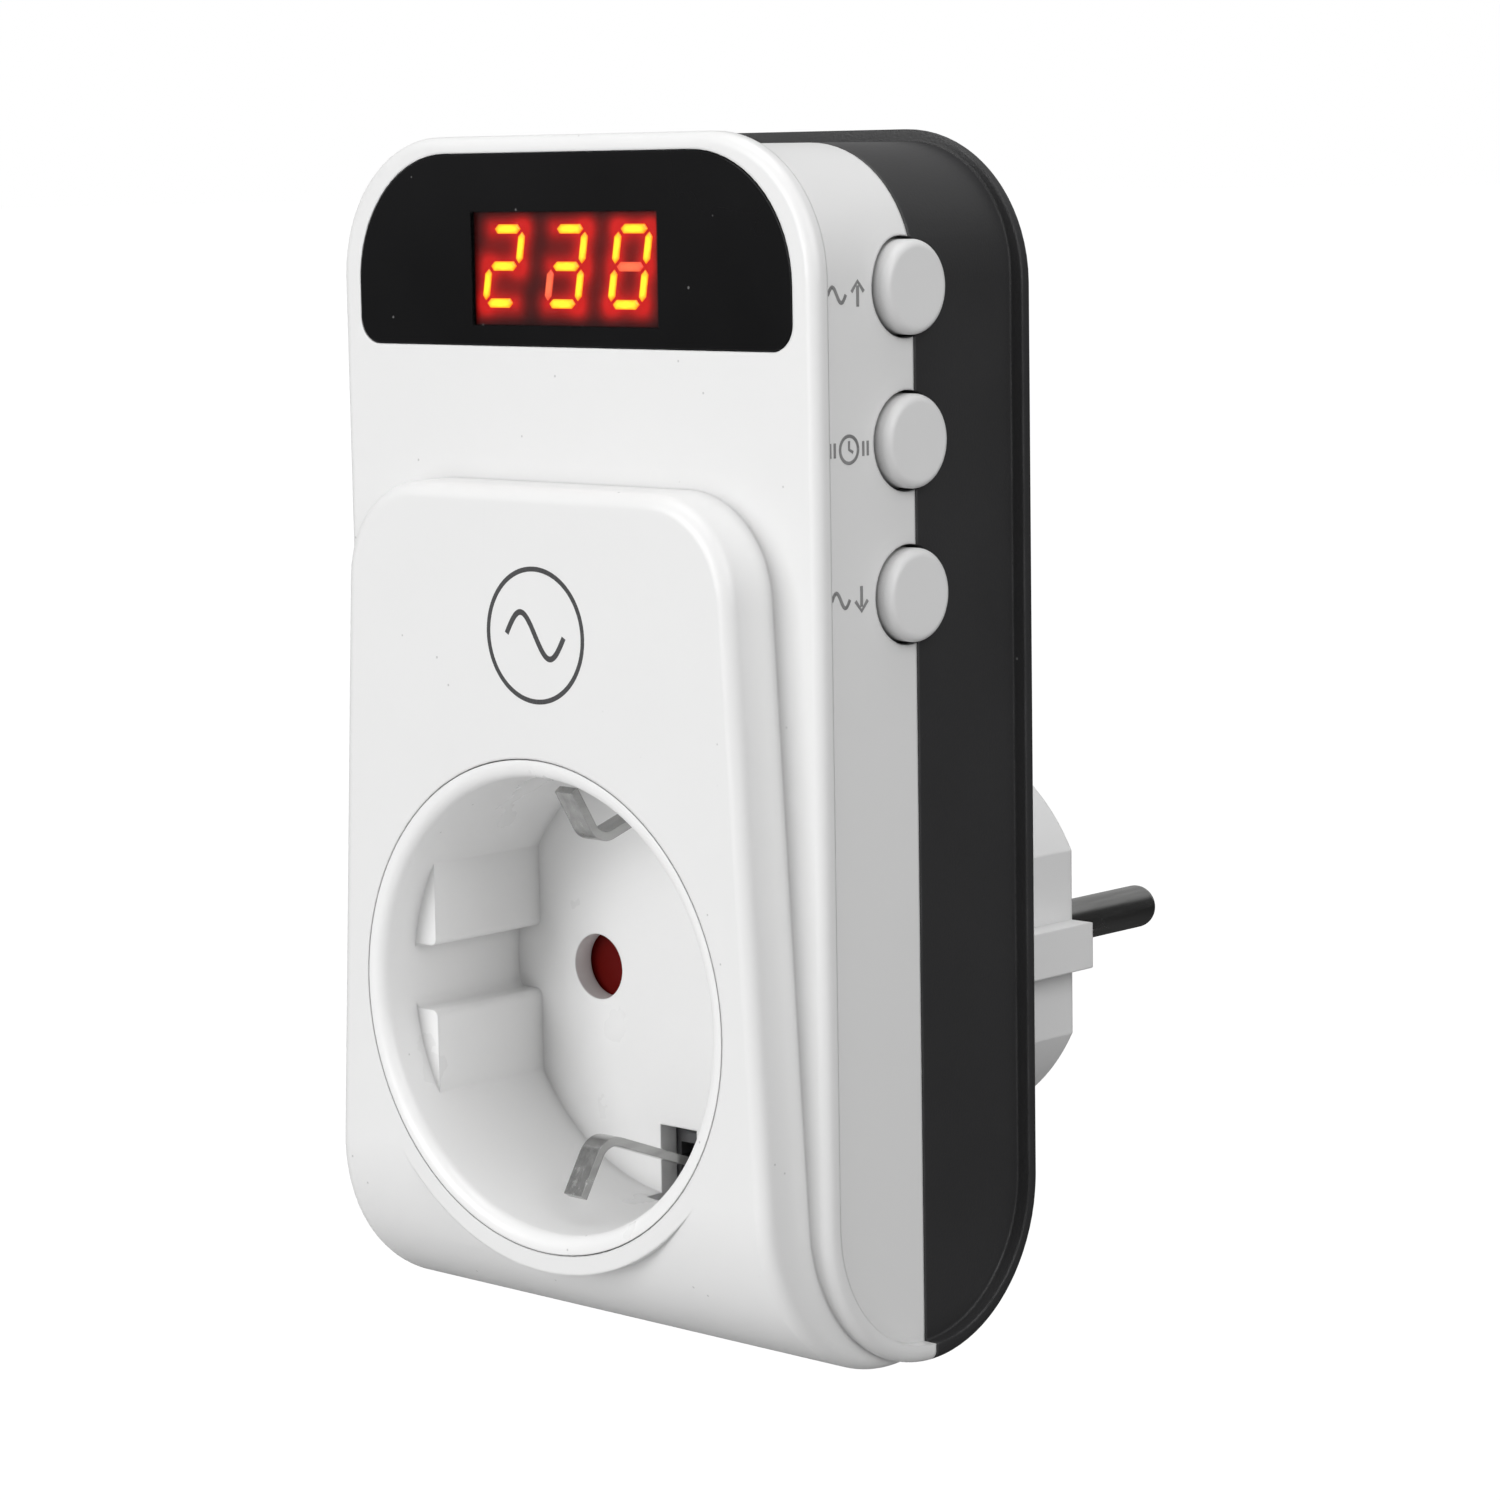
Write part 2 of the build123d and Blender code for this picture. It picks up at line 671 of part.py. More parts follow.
def wire(points, name):
    """An insulated wire: a round tube along straight runs joined by tangent arcs."""
    with BuildPart() as tube:
        with BuildLine() as path:
            FilletPolyline(points, radius=2.2)
        with BuildSketch(Plane(origin=path.line @ 0, z_dir=path.line % 0)):
            Circle(wire_radius)
        sweep()
    finish(tube, name)


wire([(6.75, -10.2, 0.8), (6.75, -16.5, 4.0), (6.75, wire_y, 10.5), (6.75, wire_y, 30.0)],
     "live_input_wire")
wire([(-6.75, -10.2, 0.8), (-6.75, -16.5, 4.0), (-6.75, wire_y, 10.5), (-6.75, wire_y, 30.0)],
     "neutral_wire")
wire([(13.5, wire_y, -1.5), (13.5, wire_y, 16.0), (17.0, wire_y, 24.0), (17.0, wire_y, 31.0)],
     "live_output_wire")


# ------------------------------------------------------------------ main board and its parts
with BuildPart() as main_board:
    with BuildSketch(facing(board_back_y)) as outline:
        arch(board_half, board_bottom, board_top, 8.9)
    extrude(outline.sketch, amount=board_back_y - board_front_y)
    cut_disc(1.6, board_back_y + 1, board_front_y - 1, upper_screw_spots)
    cut_disc(1.3, board_back_y + 1, board_front_y - 1, board_screw_spots)
finish(main_board, "main_board")

relay_x = (-20.6, -7.8)
relay_y = (-44.4, board_front_y)
relay_z = (25.8, 54.2)
relay_mid_x = (relay_x[0] + relay_x[1]) / 2
coil_y = -35.6
core_top_z = 42.6
yoke_y = (-42.4, -41.4)

with BuildPart() as relay_base:
    slab((relay_x[0] + 1.1, relay_x[1] - 1.1), (board_front_y - 1.6, board_front_y),
         (relay_z[0] + 1.1, relay_z[1] - 1.1))
    slab((relay_mid_x - 4, relay_mid_x + 4), (yoke_y[1] + 0.3, board_front_y - 1.6),
         (relay_z[0] + 1.1, relay_z[0] + 2.0))
finish(relay_base, "relay_base")

with BuildPart() as relay_frame:
    slab((relay_mid_x - 4.5, relay_mid_x + 4.5), yoke_y, (relay_z[0] + 2.1, 43.2))
    slab((relay_mid_x - 4.5, relay_mid_x + 4.5), (yoke_y[1], coil_y + 3.0),
         (relay_z[0] + 2.1, relay_z[0] + 3.1))
finish(relay_frame, "relay_frame")

with BuildPart() as relay_core:
    with BuildSketch(Plane.XY.offset(relay_z[0] + 3.15)):
        with Locations((relay_mid_x, coil_y)):
            Circle(1.8)
    extrude(amount=core_top_z - relay_z[0] - 3.15)
    with BuildSketch(Plane.XY.offset(core_top_z - 0.8)):
        with Locations((relay_mid_x, coil_y)):
            Circle(3.2)
    extrude(amount=0.8)
finish(relay_core, "relay_core")

with BuildPart() as relay_coil:
    coil_low = relay_z[0] + 3.2
    coil_high = core_top_z - 0.85
    for low, high, radius in (
        (coil_low, coil_high, 4.6),
        (coil_low, coil_low + 0.9, 5.3),
        (coil_high - 0.9, coil_high, 5.3),
    ):
        with BuildSketch(Plane.XY.offset(low)):
            with Locations((relay_mid_x, coil_y)):
                Circle(radius)
        extrude(amount=high - low)
    with BuildSketch(Plane.XY.offset(coil_low)):
        with Locations((relay_mid_x, coil_y)):
            Circle(1.85)
    extrude(amount=coil_high - coil_low, mode=Mode.SUBTRACT)
finish(relay_coil, "relay_coil")

armature_z = (43.35, 44.35)
with BuildPart() as relay_armature:
    slab((relay_mid_x - 4.2, relay_mid_x + 4.2), (yoke_y[0], -31.6), armature_z)
    slab((relay_mid_x - 1.5, relay_mid_x + 1.5), (-32.4, -32.0), (armature_z[1], 51.6))
    with BuildSketch(facing(-31.75)):
        with Locations((relay_mid_x, 50.4)):
            Circle(1.2)
    extrude(amount=0.9)
finish(relay_armature, "relay_armature")

with BuildPart() as relay_contacts:
    slab((relay_mid_x - 1.5, relay_mid_x + 1.5), (-33.7, -33.1), (48.0, 52.8))
    slab((relay_mid_x - 1.5, relay_mid_x + 1.5), (-33.1, board_front_y - 1.65), (52.0, 52.8))
    slab((relay_mid_x + 2.2, relay_mid_x + 3.2), (-31.0, board_front_y - 1.65), (48.0, 51.0))
    slab((relay_mid_x - 1.5, relay_mid_x + 3.2), (-31.1, -30.6), (48.0, 51.0))
finish(relay_contacts, "relay_contacts")

with BuildPart() as relay_cover:
    slab(relay_x, relay_y, relay_z)
    chamfer(relay_cover.edges().group_by(Axis.Y)[0], 0.6)
    cut_slab((relay_x[0] + 1, relay_x[1] - 1), (relay_y[0] + 1, relay_y[1] + 1),
             (relay_z[0] + 1, relay_z[1] - 1))
finish(relay_cover, "relay_cover")

with BuildPart() as film_capacitor:
    slab((-5.6, 2.6), (-43.4, board_front_y), (27.0, 45.0))
    fillet(film_capacitor.edges().filter_by(Axis.Y), 0.8)
    fillet(film_capacitor.edges().group_by(Axis.Y)[0], 0.5)
finish(film_capacitor, "film_capacitor")

with BuildPart() as electrolytic_capacitor:
    disc(5.0, board_front_y, -42.0, [(9.2, 36.0)])
    fillet(electrolytic_capacitor.edges().filter_by(GeomType.CIRCLE).sort_by(Axis.Y)[0], 0.5)
    with BuildSketch(facing(-42.0)) as score:
        with Locations((9.2, 36.0)):
            Rectangle(0.5, 6.4)
            Rectangle(6.4, 0.5)
    extrude(score.sketch, amount=-0.3, mode=Mode.SUBTRACT)
finish(electrolytic_capacitor, "electrolytic_capacitor")

with BuildPart() as varistor:
    with BuildSketch(Plane.XY.offset(45.5)):
        with Locations((8.4, -35.0)):
            Circle(5.6)
    extrude(amount=3.8)
    fillet(varistor.edges(), 1.2)
    for lead_x in (4.7, 12.1):
        slab((lead_x - 0.4, lead_x + 0.4), (-33.0, board_front_y), (47.0, 47.8))
finish(varistor, "varistor")

with BuildPart() as fuse:
    disc(4.2, board_front_y, -36.5, [(-0.8, 50.5)])
    fillet(fuse.edges().filter_by(GeomType.CIRCLE).sort_by(Axis.Y)[0], 0.6)
finish(fuse, "fuse")

with BuildPart() as controller_chips:
    slab((-4.0, 4.0), (board_back_y, board_back_y + 1.5), (45.0, 50.0))
    slab((-14.0, -10.0), (board_back_y, board_back_y + 1.4), (36.0, 41.0))
    slab((8.0, 11.0), (board_back_y, board_back_y + 1.2), (54.0, 57.0))
finish(controller_chips, "controller_chips")


# ------------------------------------------------------------------ screws
def pan_screws(spots, seat_y, shaft_radius, length, head_radius, head_height):
    """Cross-recessed pan screws driven from the back, one solid for each place."""
    with BuildPart() as screws:
        disc(head_radius, seat_y + head_height, seat_y, spots)
        fillet(screws.edges().group_by(Axis.Y)[-1], head_height * 0.45)
        disc(shaft_radius, seat_y, seat_y - length, spots)
        with BuildSketch(facing(seat_y + head_height)) as recess:
            with Locations(*spots):
                Rectangle(head_radius * 1.1, head_radius * 0.26)
                Rectangle(head_radius * 0.26, head_radius * 1.1)
        extrude(recess.sketch, amount=head_height * 0.6, mode=Mode.SUBTRACT)
    return screws


finish(pan_screws(case_screw_spots, case_screw_seat_y, 1.4, 14.0, 2.7, 2.0), "case_screws")
finish(pan_screws(board_screw_spots, board_back_y, 1.05, 6.0, 2.1, 1.5), "board_screws")
finish(pan_screws(insert_screw_spots, carrier_back_y - 2.0, 1.05, 6.4, 2.2, 1.6), "insert_screws")
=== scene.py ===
import math

import bmesh
import bpy
from mathutils import Matrix, Vector


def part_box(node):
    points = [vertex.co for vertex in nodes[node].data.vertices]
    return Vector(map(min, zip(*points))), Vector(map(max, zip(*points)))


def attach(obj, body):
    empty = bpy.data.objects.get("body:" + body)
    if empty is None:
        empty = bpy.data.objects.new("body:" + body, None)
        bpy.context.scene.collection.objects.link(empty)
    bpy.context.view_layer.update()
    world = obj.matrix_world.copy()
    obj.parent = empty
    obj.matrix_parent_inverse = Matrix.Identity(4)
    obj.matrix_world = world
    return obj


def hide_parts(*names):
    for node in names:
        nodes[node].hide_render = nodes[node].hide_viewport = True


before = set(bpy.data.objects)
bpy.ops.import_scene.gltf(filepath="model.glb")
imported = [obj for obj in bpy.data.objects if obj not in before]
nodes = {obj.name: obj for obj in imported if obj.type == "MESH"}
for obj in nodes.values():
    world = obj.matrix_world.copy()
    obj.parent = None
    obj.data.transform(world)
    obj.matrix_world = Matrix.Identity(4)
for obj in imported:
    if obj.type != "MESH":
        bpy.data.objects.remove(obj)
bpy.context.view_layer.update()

MM = 0.001


# ---------------------------------------------------------------- node materials
class Graph:
    """A material's node tree with short ways to add and join its nodes. Lengths are in metres."""

    def __init__(self, name):
        self.material = bpy.data.materials.new(name)
        self.material.use_nodes = True
        self.tree = self.material.node_tree
        self.shader = self.tree.nodes["Principled BSDF"]
        self.place = self.add("ShaderNodeTexCoord").outputs["Object"]

    def add(self, kind, links=None, values=None, **settings):
        node = self.tree.nodes.new(kind)
        for name, value in settings.items():
            setattr(node, name, value)
        for name, value in (values or {}).items():
            node.inputs[name].default_value = value
        for name, source in (links or {}).items():
            self.tree.links.new(source, node.inputs[name])
        return node

    def maths(self, operation, first, second=None, clamp=False):
        node = self.add("ShaderNodeMath", operation=operation, use_clamp=clamp)
        for socket, value in zip(node.inputs, (first, second)):
            if value is None:
                continue
            if isinstance(value, (int, float)):
                socket.default_value = value
            else:
                self.tree.links.new(value, socket)
        return node.outputs[0]

    def spread(self, value, low, high, to_low=0.0, to_high=1.0, smooth=False):
        node = self.add("ShaderNodeMapRange", {"Value": value})
        if smooth:
            node.interpolation_type = "SMOOTHSTEP"
        for name, number in (
            ("From Min", low), ("From Max", high), ("To Min", to_low), ("To Max", to_high)
        ):
            node.inputs[name].default_value = number
        return node.outputs["Result"]

    def mix(self, factor, first, second):
        node = self.add("ShaderNodeMix", data_type="RGBA")
        factor_in, first_in, second_in = node.inputs[0], node.inputs[6], node.inputs[7]
        for socket, value in ((factor_in, factor), (first_in, first), (second_in, second)):
            if isinstance(value, (int, float)):
                socket.default_value = value
            elif isinstance(value, tuple):
                socket.default_value = (*value, 1.0)
            else:
                self.tree.links.new(value, socket)
        return node.outputs[2]

    def stretched(self, scale):
        return self.add("ShaderNodeMapping", {"Vector": self.place}, {"Scale": scale}).outputs[0]

    def noise(self, scale, detail=2.0, roughness=0.5, place=None):
        node = self.add(
            "ShaderNodeTexNoise",
            {"Vector": place or self.place},
            {"Scale": scale, "Detail": detail, "Roughness": roughness},
        )
        return node.outputs["Fac"]

    def link(self, source, socket):
        self.tree.links.new(source, self.shader.inputs[socket])


# Dust shows pale on a dark plastic and dark on a pale one.
PALE_DUST = 0.225
DARK_DUST = -0.45
DARK_SUM = 0.6


def lighter(colour, amount):
    """The colour made lighter by a share of itself, or darker when the share is below zero."""
    return tuple(min(1.0, channel * (1.0 + amount)) for channel in colour)


def moulded(
    name, colour, roughness, tone=0.03, grain=0.012, grain_size=0.25, corner_shade=0.2, edge_wear_and_highlight=0.08,
    specks=0.0, scratches=0.3, soft_edge=0.15, specular=0.5,
):
    """Injection moulded plastic: mottled tone, fine grain, edges lightened as wear and as a painted
    highlight, painted shade in corners, dust and hairline scratches.

    grain_size and soft_edge are in millimetres. More specks means more specks of dust.
    """
    graph = Graph(name)
    graph.shader.inputs["Specular IOR Level"].default_value = specular

    broad = graph.noise(55.0, 3.0)
    mottle = graph.spread(broad, 0.3, 0.7)
    body = graph.mix(mottle, lighter(colour, -tone), lighter(colour, tone))

    # Painted highlight, partly real edge wear: the colour turns lighter, in random patches, along the
    # rounded edges.
    bevel = graph.add("ShaderNodeBevel", values={"Radius": soft_edge * MM}, samples=4).outputs[0]
    flat = graph.add("ShaderNodeNewGeometry").outputs["Normal"]
    facing = graph.add("ShaderNodeVectorMath", {0: bevel, 1: flat}, operation="DOT_PRODUCT")
    edge = graph.spread(facing.outputs["Value"], 0.995, 0.9)
    worn_and_highlit = graph.maths("MULTIPLY", edge, graph.spread(graph.noise(240.0, 3.0), 0.35, 0.65))
    body = graph.mix(worn_and_highlit, body, lighter(colour, edge_wear_and_highlight))

    # Painted shade: the colour darkens where ambient occlusion finds surfaces close by, in corners and
    # creases.
    corner = graph.add("ShaderNodeAmbientOcclusion", values={"Distance": 1.5 * MM}, samples=4)
    painted_corner_shade = graph.spread(corner.outputs["AO"], 0.85, 0.35, 0.0, corner_shade)
    body = graph.mix(painted_corner_shade, body, lighter(colour, -0.75))

    grain_noise = graph.noise(1000.0 / grain_size, 2.0)
    height = graph.maths("MULTIPLY", grain_noise, grain)
    rub = graph.spread(graph.noise(130.0, 4.0), 0.1, 0.9, roughness - 0.03, roughness + 0.05)

    if scratches:
        long_way = graph.noise(1.0, 2.0, place=graph.stretched((2300.0, 2600.0, 60.0)))
        hairline = graph.spread(long_way, 0.70, 0.76, 0.0, scratches)
        patch = graph.spread(graph.noise(38.0, 2.0), 0.52, 0.62)
        hairline = graph.maths("MULTIPLY", hairline, patch)
        rub = graph.maths("ADD", rub, graph.maths("MULTIPLY", hairline, 0.25))
        height = graph.maths("SUBTRACT", height, graph.maths("MULTIPLY", hairline, 0.01))
        body = graph.mix(graph.maths("MULTIPLY", hairline, 0.22), body, lighter(colour, -0.35))

    if specks:
        cells = graph.add("ShaderNodeTexVoronoi", {"Vector": graph.place}, {"Scale": 700.0})
        near = graph.spread(cells.outputs["Distance"], 0.10, 0.06)
        split = graph.add("ShaderNodeSeparateColor", {"Color": cells.outputs["Color"]})
        chosen = graph.maths("GREATER_THAN", split.outputs[0], 1.0 - 0.08 * specks)
        dust = graph.maths("MULTIPLY", near, chosen)
        tint = PALE_DUST if sum(colour) < DARK_SUM else DARK_DUST
        speck_colour = tuple(max(0.0, min(1.0, channel + tint)) for channel in colour)
        body = graph.mix(graph.maths("MULTIPLY", dust, 0.55), body, speck_colour)

    bump = graph.add(
        "ShaderNodeBump", {"Height": height, "Normal": bevel}, {"Strength": 1.0, "Distance": MM}
    )
    graph.link(body, "Base Color")
    graph.link(rub, "Roughness")
    graph.link(bump.outputs[0], "Normal")
    return graph


def metal(name, colour, roughness, run=(1.0, 1.0, 1.0), streak=0.25, tarnish=0.12):
    """Plated or rolled metal with drawn streaks, tarnish and painted shade in its corners.

    run says how fast the streaks change along each axis, so they lie along the smallest one.
    """
    graph = Graph(name)
    graph.shader.inputs["Metallic"].default_value = 1.0
    lines = graph.noise(1.0, 3.0, place=graph.stretched(tuple(2500.0 * part for part in run)))
    film = graph.spread(graph.noise(160.0, 4.0, 0.6), 0.45, 0.75)
    body = graph.mix(
        graph.spread(lines, 0.2, 0.8), lighter(colour, -streak), lighter(colour, streak * 0.5)
    )
    body = graph.mix(graph.maths("MULTIPLY", film, tarnish), body, lighter(colour, -0.6))
    bevel = graph.add("ShaderNodeBevel", values={"Radius": 0.12 * MM}, samples=4).outputs[0]
    # Painted shade: the colour darkens in corners, where ambient occlusion finds surfaces close by.
    corner = graph.add("ShaderNodeAmbientOcclusion", values={"Distance": 1.0 * MM}, samples=4)
    painted_corner_shade = graph.spread(corner.outputs["AO"], 0.8, 0.3, 0.0, 0.5)
    body = graph.mix(painted_corner_shade, body, lighter(colour, -0.8))
    rub = graph.spread(lines, 0.3, 0.7, roughness, roughness + 0.14)
    rub = graph.maths("ADD", rub, graph.maths("MULTIPLY", film, 0.1))
    bump = graph.add(
        "ShaderNodeBump", {"Height": lines, "Normal": bevel}, {"Strength": 0.15, "Distance": 0.01 * MM}
    )
    graph.link(body, "Base Color")
    graph.link(rub, "Roughness")
    graph.link(bump.outputs[0], "Normal")
    return graph


WINDOW_SOFTNESS = 0.2 * MM
WINDOW_ALPHA = 0.16


def smoked_lens(name, window):
    """Polished black lens. Its clear window lets the display behind it show through."""
    graph = moulded(
        name, (0.005, 0.005, 0.0054), 0.12, tone=0.2, grain=0.0008, grain_size=2.0, corner_shade=0.0,
        edge_wear_and_highlight=2.0, specks=1.5, scratches=0.8, soft_edge=0.2, specular=0.15,
    )
    axis = graph.add("ShaderNodeSeparateXYZ", {"Vector": graph.place})
    (x_low, x_high), (z_low, z_high) = window

    def between(place, low, high):
        away = graph.maths("ABSOLUTE", graph.maths("SUBTRACT", place, (low + high) / 2))
        half = (high - low) / 2
        return graph.spread(away, half, half - WINDOW_SOFTNESS)

    inside = graph.maths(
        "MULTIPLY",
        between(axis.outputs["X"], x_low, x_high),
        between(axis.outputs["Z"], z_low, z_high),
    )
    graph.link(graph.spread(inside, 0.0, 1.0, 1.0, WINDOW_ALPHA), "Alpha")
    return graph


def display_face(name):
    """Dark red epoxy that glows by its mesh's glow_level. A mesh without one stays dark."""
    graph = Graph(name)
    graph.shader.inputs["Specular IOR Level"].default_value = 0.2
    heat = graph.add("ShaderNodeAttribute", attribute_name="glow_level").outputs["Fac"]
    patch = graph.spread(graph.noise(420.0, 2.0), 0.3, 0.7, 0.85, 1.0)
    glow = graph.maths("MULTIPLY", heat, patch, clamp=True)
    body = graph.mix(glow, (0.012, 0.003, 0.003), (0.05, 0.006, 0.005))
    graph.link(body, "Base Color")
    graph.link(graph.mix(glow, (0.012, 0.0012, 0.001), (0.92, 0.012, 0.010)), "Emission Color")
    graph.shader.inputs["Emission Strength"].default_value = 1.0
    fine = graph.noise(3000.0, 2.0)
    graph.link(graph.spread(fine, 0.3, 0.7, 0.45, 0.6), "Roughness")
    bump = graph.add("ShaderNodeBump", {"Height": fine}, {"Strength": 0.3, "Distance": 0.01 * MM})
    graph.link(bump.outputs[0], "Normal")
    return graph


def lit_bar(name, core, rim, strength):
    """A glowing segment, hotter along its middle by the glow_level that its mesh carries."""
    graph = Graph(name)
    heat = graph.add("ShaderNodeAttribute", attribute_name="glow_level").outputs["Fac"]
    mottle = graph.spread(graph.noise(1800.0, 2.0), 0.3, 0.7, -0.08, 0.08)
    level = graph.maths("ADD", heat, mottle, clamp=True)
    colour = graph.mix(level, rim, core)
    graph.link(colour, "Base Color")
    graph.link(colour, "Emission Color")
    graph.shader.inputs["Emission Strength"].default_value = strength
    graph.link(graph.spread(graph.noise(2500.0), 0.3, 0.7, 0.3, 0.45), "Roughness")
    bump = graph.add(
        "ShaderNodeBump", {"Height": graph.noise(2500.0)}, {"Strength": 0.2, "Distance": 0.01 * MM}
    )
    graph.link(bump.outputs[0], "Normal")
    return graph


def circuit_board(name):
    """Green solder mask with copper tracks that show through as paler lines."""
    graph = Graph(name)
    on_board = graph.add(
        "ShaderNodeMapping", {"Vector": graph.place}, {"Rotation": (math.pi / 2, 0, 0)}
    ).outputs[0]
    bricks = graph.add(
        "ShaderNodeTexBrick",
        {"Vector": on_board},
        {"Scale": 320.0, "Mortar Size": 0.02, "Brick Width": 1.7, "Row Height": 0.45},
    )
    tracks = graph.maths("MULTIPLY", bricks.outputs["Fac"], graph.spread(graph.noise(260.0), 0.42, 0.5))
    mottle = graph.spread(graph.noise(90.0, 3.0), 0.3, 0.7)
    body = graph.mix(mottle, (0.012, 0.085, 0.032), (0.018, 0.12, 0.045))
    body = graph.mix(tracks, body, (0.05, 0.24, 0.09))
    graph.link(body, "Base Color")
    graph.link(graph.spread(graph.noise(800.0, 2.0), 0.3, 0.7, 0.28, 0.42), "Roughness")
    bump = graph.add("ShaderNodeBump", {"Height": tracks}, {"Strength": 0.5, "Distance": 0.035 * MM})
    graph.link(bump.outputs[0], "Normal")
    return graph


# The lens is clear in front of the display, apart from a thin strip at the display's left edge.
HIDDEN_STRIP = 0.25 * MM
display_low, display_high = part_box("led_module")
lens_window = ((display_low[0] + HIDDEN_STRIP, display_high[0]), (display_low[2], display_high[2]))

# Every moulded material carries painted shade in its corners and a painted edge highlight that is
# partly wear; the numbers below set how strong they are.
materials = {
    "white_plastic": moulded("white_abs", (0.785, 0.785, 0.783), 0.34, tone=0.006, grain=0.003,
                             grain_size=0.5, specks=1.3, scratches=0.15, corner_shade=0.3, edge_wear_and_highlight=0.02,
                             soft_edge=0.35),
    "dark_plastic": moulded("dark_abs", (0.030, 0.030, 0.031), 0.42, tone=0.08, grain=0.022,
                            grain_size=0.22, specks=0.5, scratches=0.6, corner_shade=0.3, edge_wear_and_highlight=1.2,
                            soft_edge=0.3),
    "lens_plastic": smoked_lens("smoked_acrylic", lens_window),
    "button_plastic": moulded("button_abs", (0.77, 0.77, 0.77), 0.36, tone=0.01, grain=0.003,
                              specks=1.0, corner_shade=0.6, edge_wear_and_highlight=0.02, soft_edge=0.25),
    "plug_plastic": moulded("plug_abs", (0.79, 0.79, 0.79), 0.4, tone=0.02, grain=0.005,
                            specks=0.8, corner_shade=0.3, edge_wear_and_highlight=0.08, soft_edge=0.25),
    "insert_plastic": moulded("insert_thermoset", (0.85, 0.85, 0.848), 0.28, tone=0.008, grain=0.002,
                              specks=0.3, corner_shade=0.3, edge_wear_and_highlight=0.03, soft_edge=0.25, scratches=0.0),
    "led_face": display_face("display_epoxy"),
    "led_lit": lit_bar("segment_lit", (1.0, 0.78, 0.02), (1.0, 0.17, 0.004), 1.25),
    "led_faint": lit_bar("segment_faint", (0.98, 0.16, 0.06), (0.80, 0.07, 0.03), 1.0),
    "board": circuit_board("solder_mask"),
    "black_plastic": moulded("black_nylon", (0.02, 0.02, 0.021), 0.45, tone=0.1, grain=0.01),
    "carrier_plastic": moulded("grey_pbt", (0.09, 0.09, 0.094), 0.42, tone=0.05, grain=0.008),
    "shutter_plastic": moulded("red_acetal", (0.13, 0.003, 0.002), 0.30, tone=0.05, grain=0.003,
                               specular=0.1),
    "nickel": metal("nickel_plate", (0.46, 0.46, 0.455), 0.12, run=(0.7, 0.05, 0.5), streak=0.25,
                    tarnish=0.05),
    "spring_steel": metal("spring_steel", (0.55, 0.55, 0.56), 0.28, run=(0.05, 1.0, 1.0)),
    "copper_strip": metal("brass_strip", (0.72, 0.48, 0.20), 0.26, run=(1.0, 0.05, 1.0)),
    "coil_copper": metal("enamelled_copper", (0.52, 0.20, 0.08), 0.3, run=(0.1, 0.1, 3.0), streak=0.45),
    "zinc_steel": metal("zinc_plate", (0.58, 0.59, 0.60), 0.32, run=(0.2, 1.0, 1.0)),
    "relay_plastic": moulded("relay_case", (0.016, 0.016, 0.018), 0.3, tone=0.1, grain=0.004),
    "capacitor_yellow": moulded("capacitor_box", (0.68, 0.42, 0.04), 0.4, tone=0.04, grain=0.006),
    "capacitor_sleeve": moulded("capacitor_sleeve", (0.012, 0.02, 0.07), 0.25, tone=0.1, grain=0.002),
    "varistor_blue": moulded("varistor_epoxy", (0.02, 0.09, 0.33), 0.3, tone=0.06, grain=0.02,
                             grain_size=0.8),
    "wire_brown": moulded("brown_pvc", (0.16, 0.055, 0.022), 0.42, tone=0.08, grain=0.006),
    "wire_blue": moulded("blue_pvc", (0.015, 0.075, 0.34), 0.42, tone=0.08, grain=0.006),
    "print_black": moulded("front_print", (0.045, 0.045, 0.047), 0.5, tone=0.2, grain=0.004,
                           scratches=0.0, corner_shade=0.0),
    "print_grey": moulded("pad_print", (0.26, 0.26, 0.26), 0.55, tone=0.12, grain=0.006, scratches=0.0,
                          corner_shade=0.0),
}

for node in nodes.values():
    for holder in node.material_slots:
        holder.material = materials[holder.material.name.split(".")[0]].material


# ---------------------------------------------------------------- new pieces
def new_piece(name, vertices, faces, material):
    """A flat shaded mesh, in metres, that stays with the housing."""
    mesh = bpy.data.meshes.new(name)
    mesh.from_pydata(vertices, [], faces)
    mesh.validate()
    mesh.materials.append(material)
    piece = bpy.data.objects.new(name, mesh)
    bpy.context.scene.collection.objects.link(piece)
    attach(piece, "housing")
    return piece


def turn_faces_outward(data, weld=0.0):
    """Point every face out, after joining the corners that are closer than weld."""
    mesh = bmesh.new()
    mesh.from_mesh(data)
    if weld:
        bmesh.ops.remove_doubles(mesh, verts=mesh.verts, dist=weld)
    bmesh.ops.recalc_face_normals(mesh, faces=mesh.faces)
    mesh.to_mesh(data)
    mesh.free()


def set_glow(data, levels):
    layer = data.attributes.new("glow_level", "FLOAT", "POINT")
    layer.data.foreach_set("value", levels)


SEGMENT_STROKE = 0.82
SEGMENT_GAP = 0.22
DIGIT_WIDTH = 4.4
DIGIT_PITCH = 7.5
DIGIT_SLANT = math.radians(10.0)
LIT_SEGMENTS = ["abged", "abgcd", "abcdef"]
FAINT_SEGMENTS = ["", "e", "g"]

# Every ring of a bar: how far it is set in, its share of the bar's height and its glow.
BAR_RINGS = ((0.0, 0.0, 0.15), (0.03, 0.75, 0.3), (0.14, 1.0, 0.8), (0.3, 1.0, 1.1))
RING_CORNERS = 8


def segment_ends(letter, height):
    """The two ends of a segment's middle line, from the digit's centre, before the slant."""
    side = (DIGIT_WIDTH - SEGMENT_STROKE) / 2
    top = (height - SEGMENT_STROKE) / 2
    return {
        "a": ((-side, top), (side, top)),
        "b": ((side, 0), (side, top)),
        "c": ((side, -top), (side, 0)),
        "d": ((-side, -top), (side, -top)),
        "e": ((-side, -top), (-side, 0)),
        "f": ((-side, 0), (-side, top)),
        "g": ((-side, 0), (side, 0)),
    }[letter]


